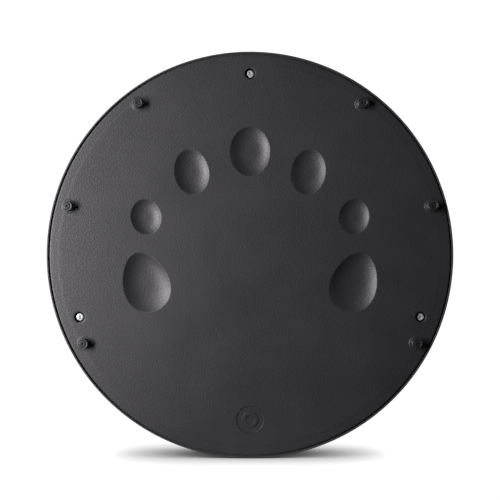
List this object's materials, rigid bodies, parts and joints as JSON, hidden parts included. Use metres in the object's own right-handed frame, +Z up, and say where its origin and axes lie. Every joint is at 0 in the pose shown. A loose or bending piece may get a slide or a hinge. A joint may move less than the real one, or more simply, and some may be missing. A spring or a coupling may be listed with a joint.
{
  "type": "bodhran",
  "caption": "Shallow round hand drum of the bodhran family with a skin head and a closed moulded back that has finger hollows, rubber feet and screws.",
  "frame": {"origin": "On the surface that the drum stands on, below the middle of its depth", "axes": "+Z up; the drum's axis lies along Y, with the head facing +Y and the closed back with its feet facing -Y; +X to the right as seen from the back"},
  "size_m": [0.406, 0.064, 0.406],
  "materials": {
    "frame_plywood": "bare birch plywood, lightly sanded",
    "wrap_black": "satin black laminate with a fine grain",
    "hoop_black": "satin black powder coat",
    "head_skin": "natural scraped goatskin, matt, mottled",
    "back_plastic": "charcoal black moulded plastic with a fine spark-eroded grain",
    "gasket_foam": "closed-cell foam",
    "block_wood": "bare beech",
    "screw_zinc": "bright zinc plate",
    "foot_rubber": "moulded rubber, satin",
    "rivet_nylon": "black nylon"
  },
  "bodies": {
    "root": {"frame_hoop": "frame_plywood", "outer_wrap": "wrap_black", "rim_hoop": "hoop_black", "drum_head": "head_skin", "back_plate": "back_plastic", "plate_gasket": "gasket_foam", "screw_block_top": "block_wood", "screw_block_left": "block_wood", "screw_block_right": "block_wood", "cover_screw_top": "screw_zinc", "cover_screw_left": "screw_zinc", "cover_screw_right": "screw_zinc", "foot_1": "foot_rubber", "foot_2": "foot_rubber", "foot_3": "foot_rubber", "foot_4": "foot_rubber", "foot_5": "foot_rubber", "foot_6": "foot_rubber", "foot_rivet_1": "rivet_nylon", "foot_rivet_2": "rivet_nylon", "foot_rivet_3": "rivet_nylon", "foot_rivet_4": "rivet_nylon", "foot_rivet_5": "rivet_nylon", "foot_rivet_6": "rivet_nylon"}
  },
  "joints": []
}
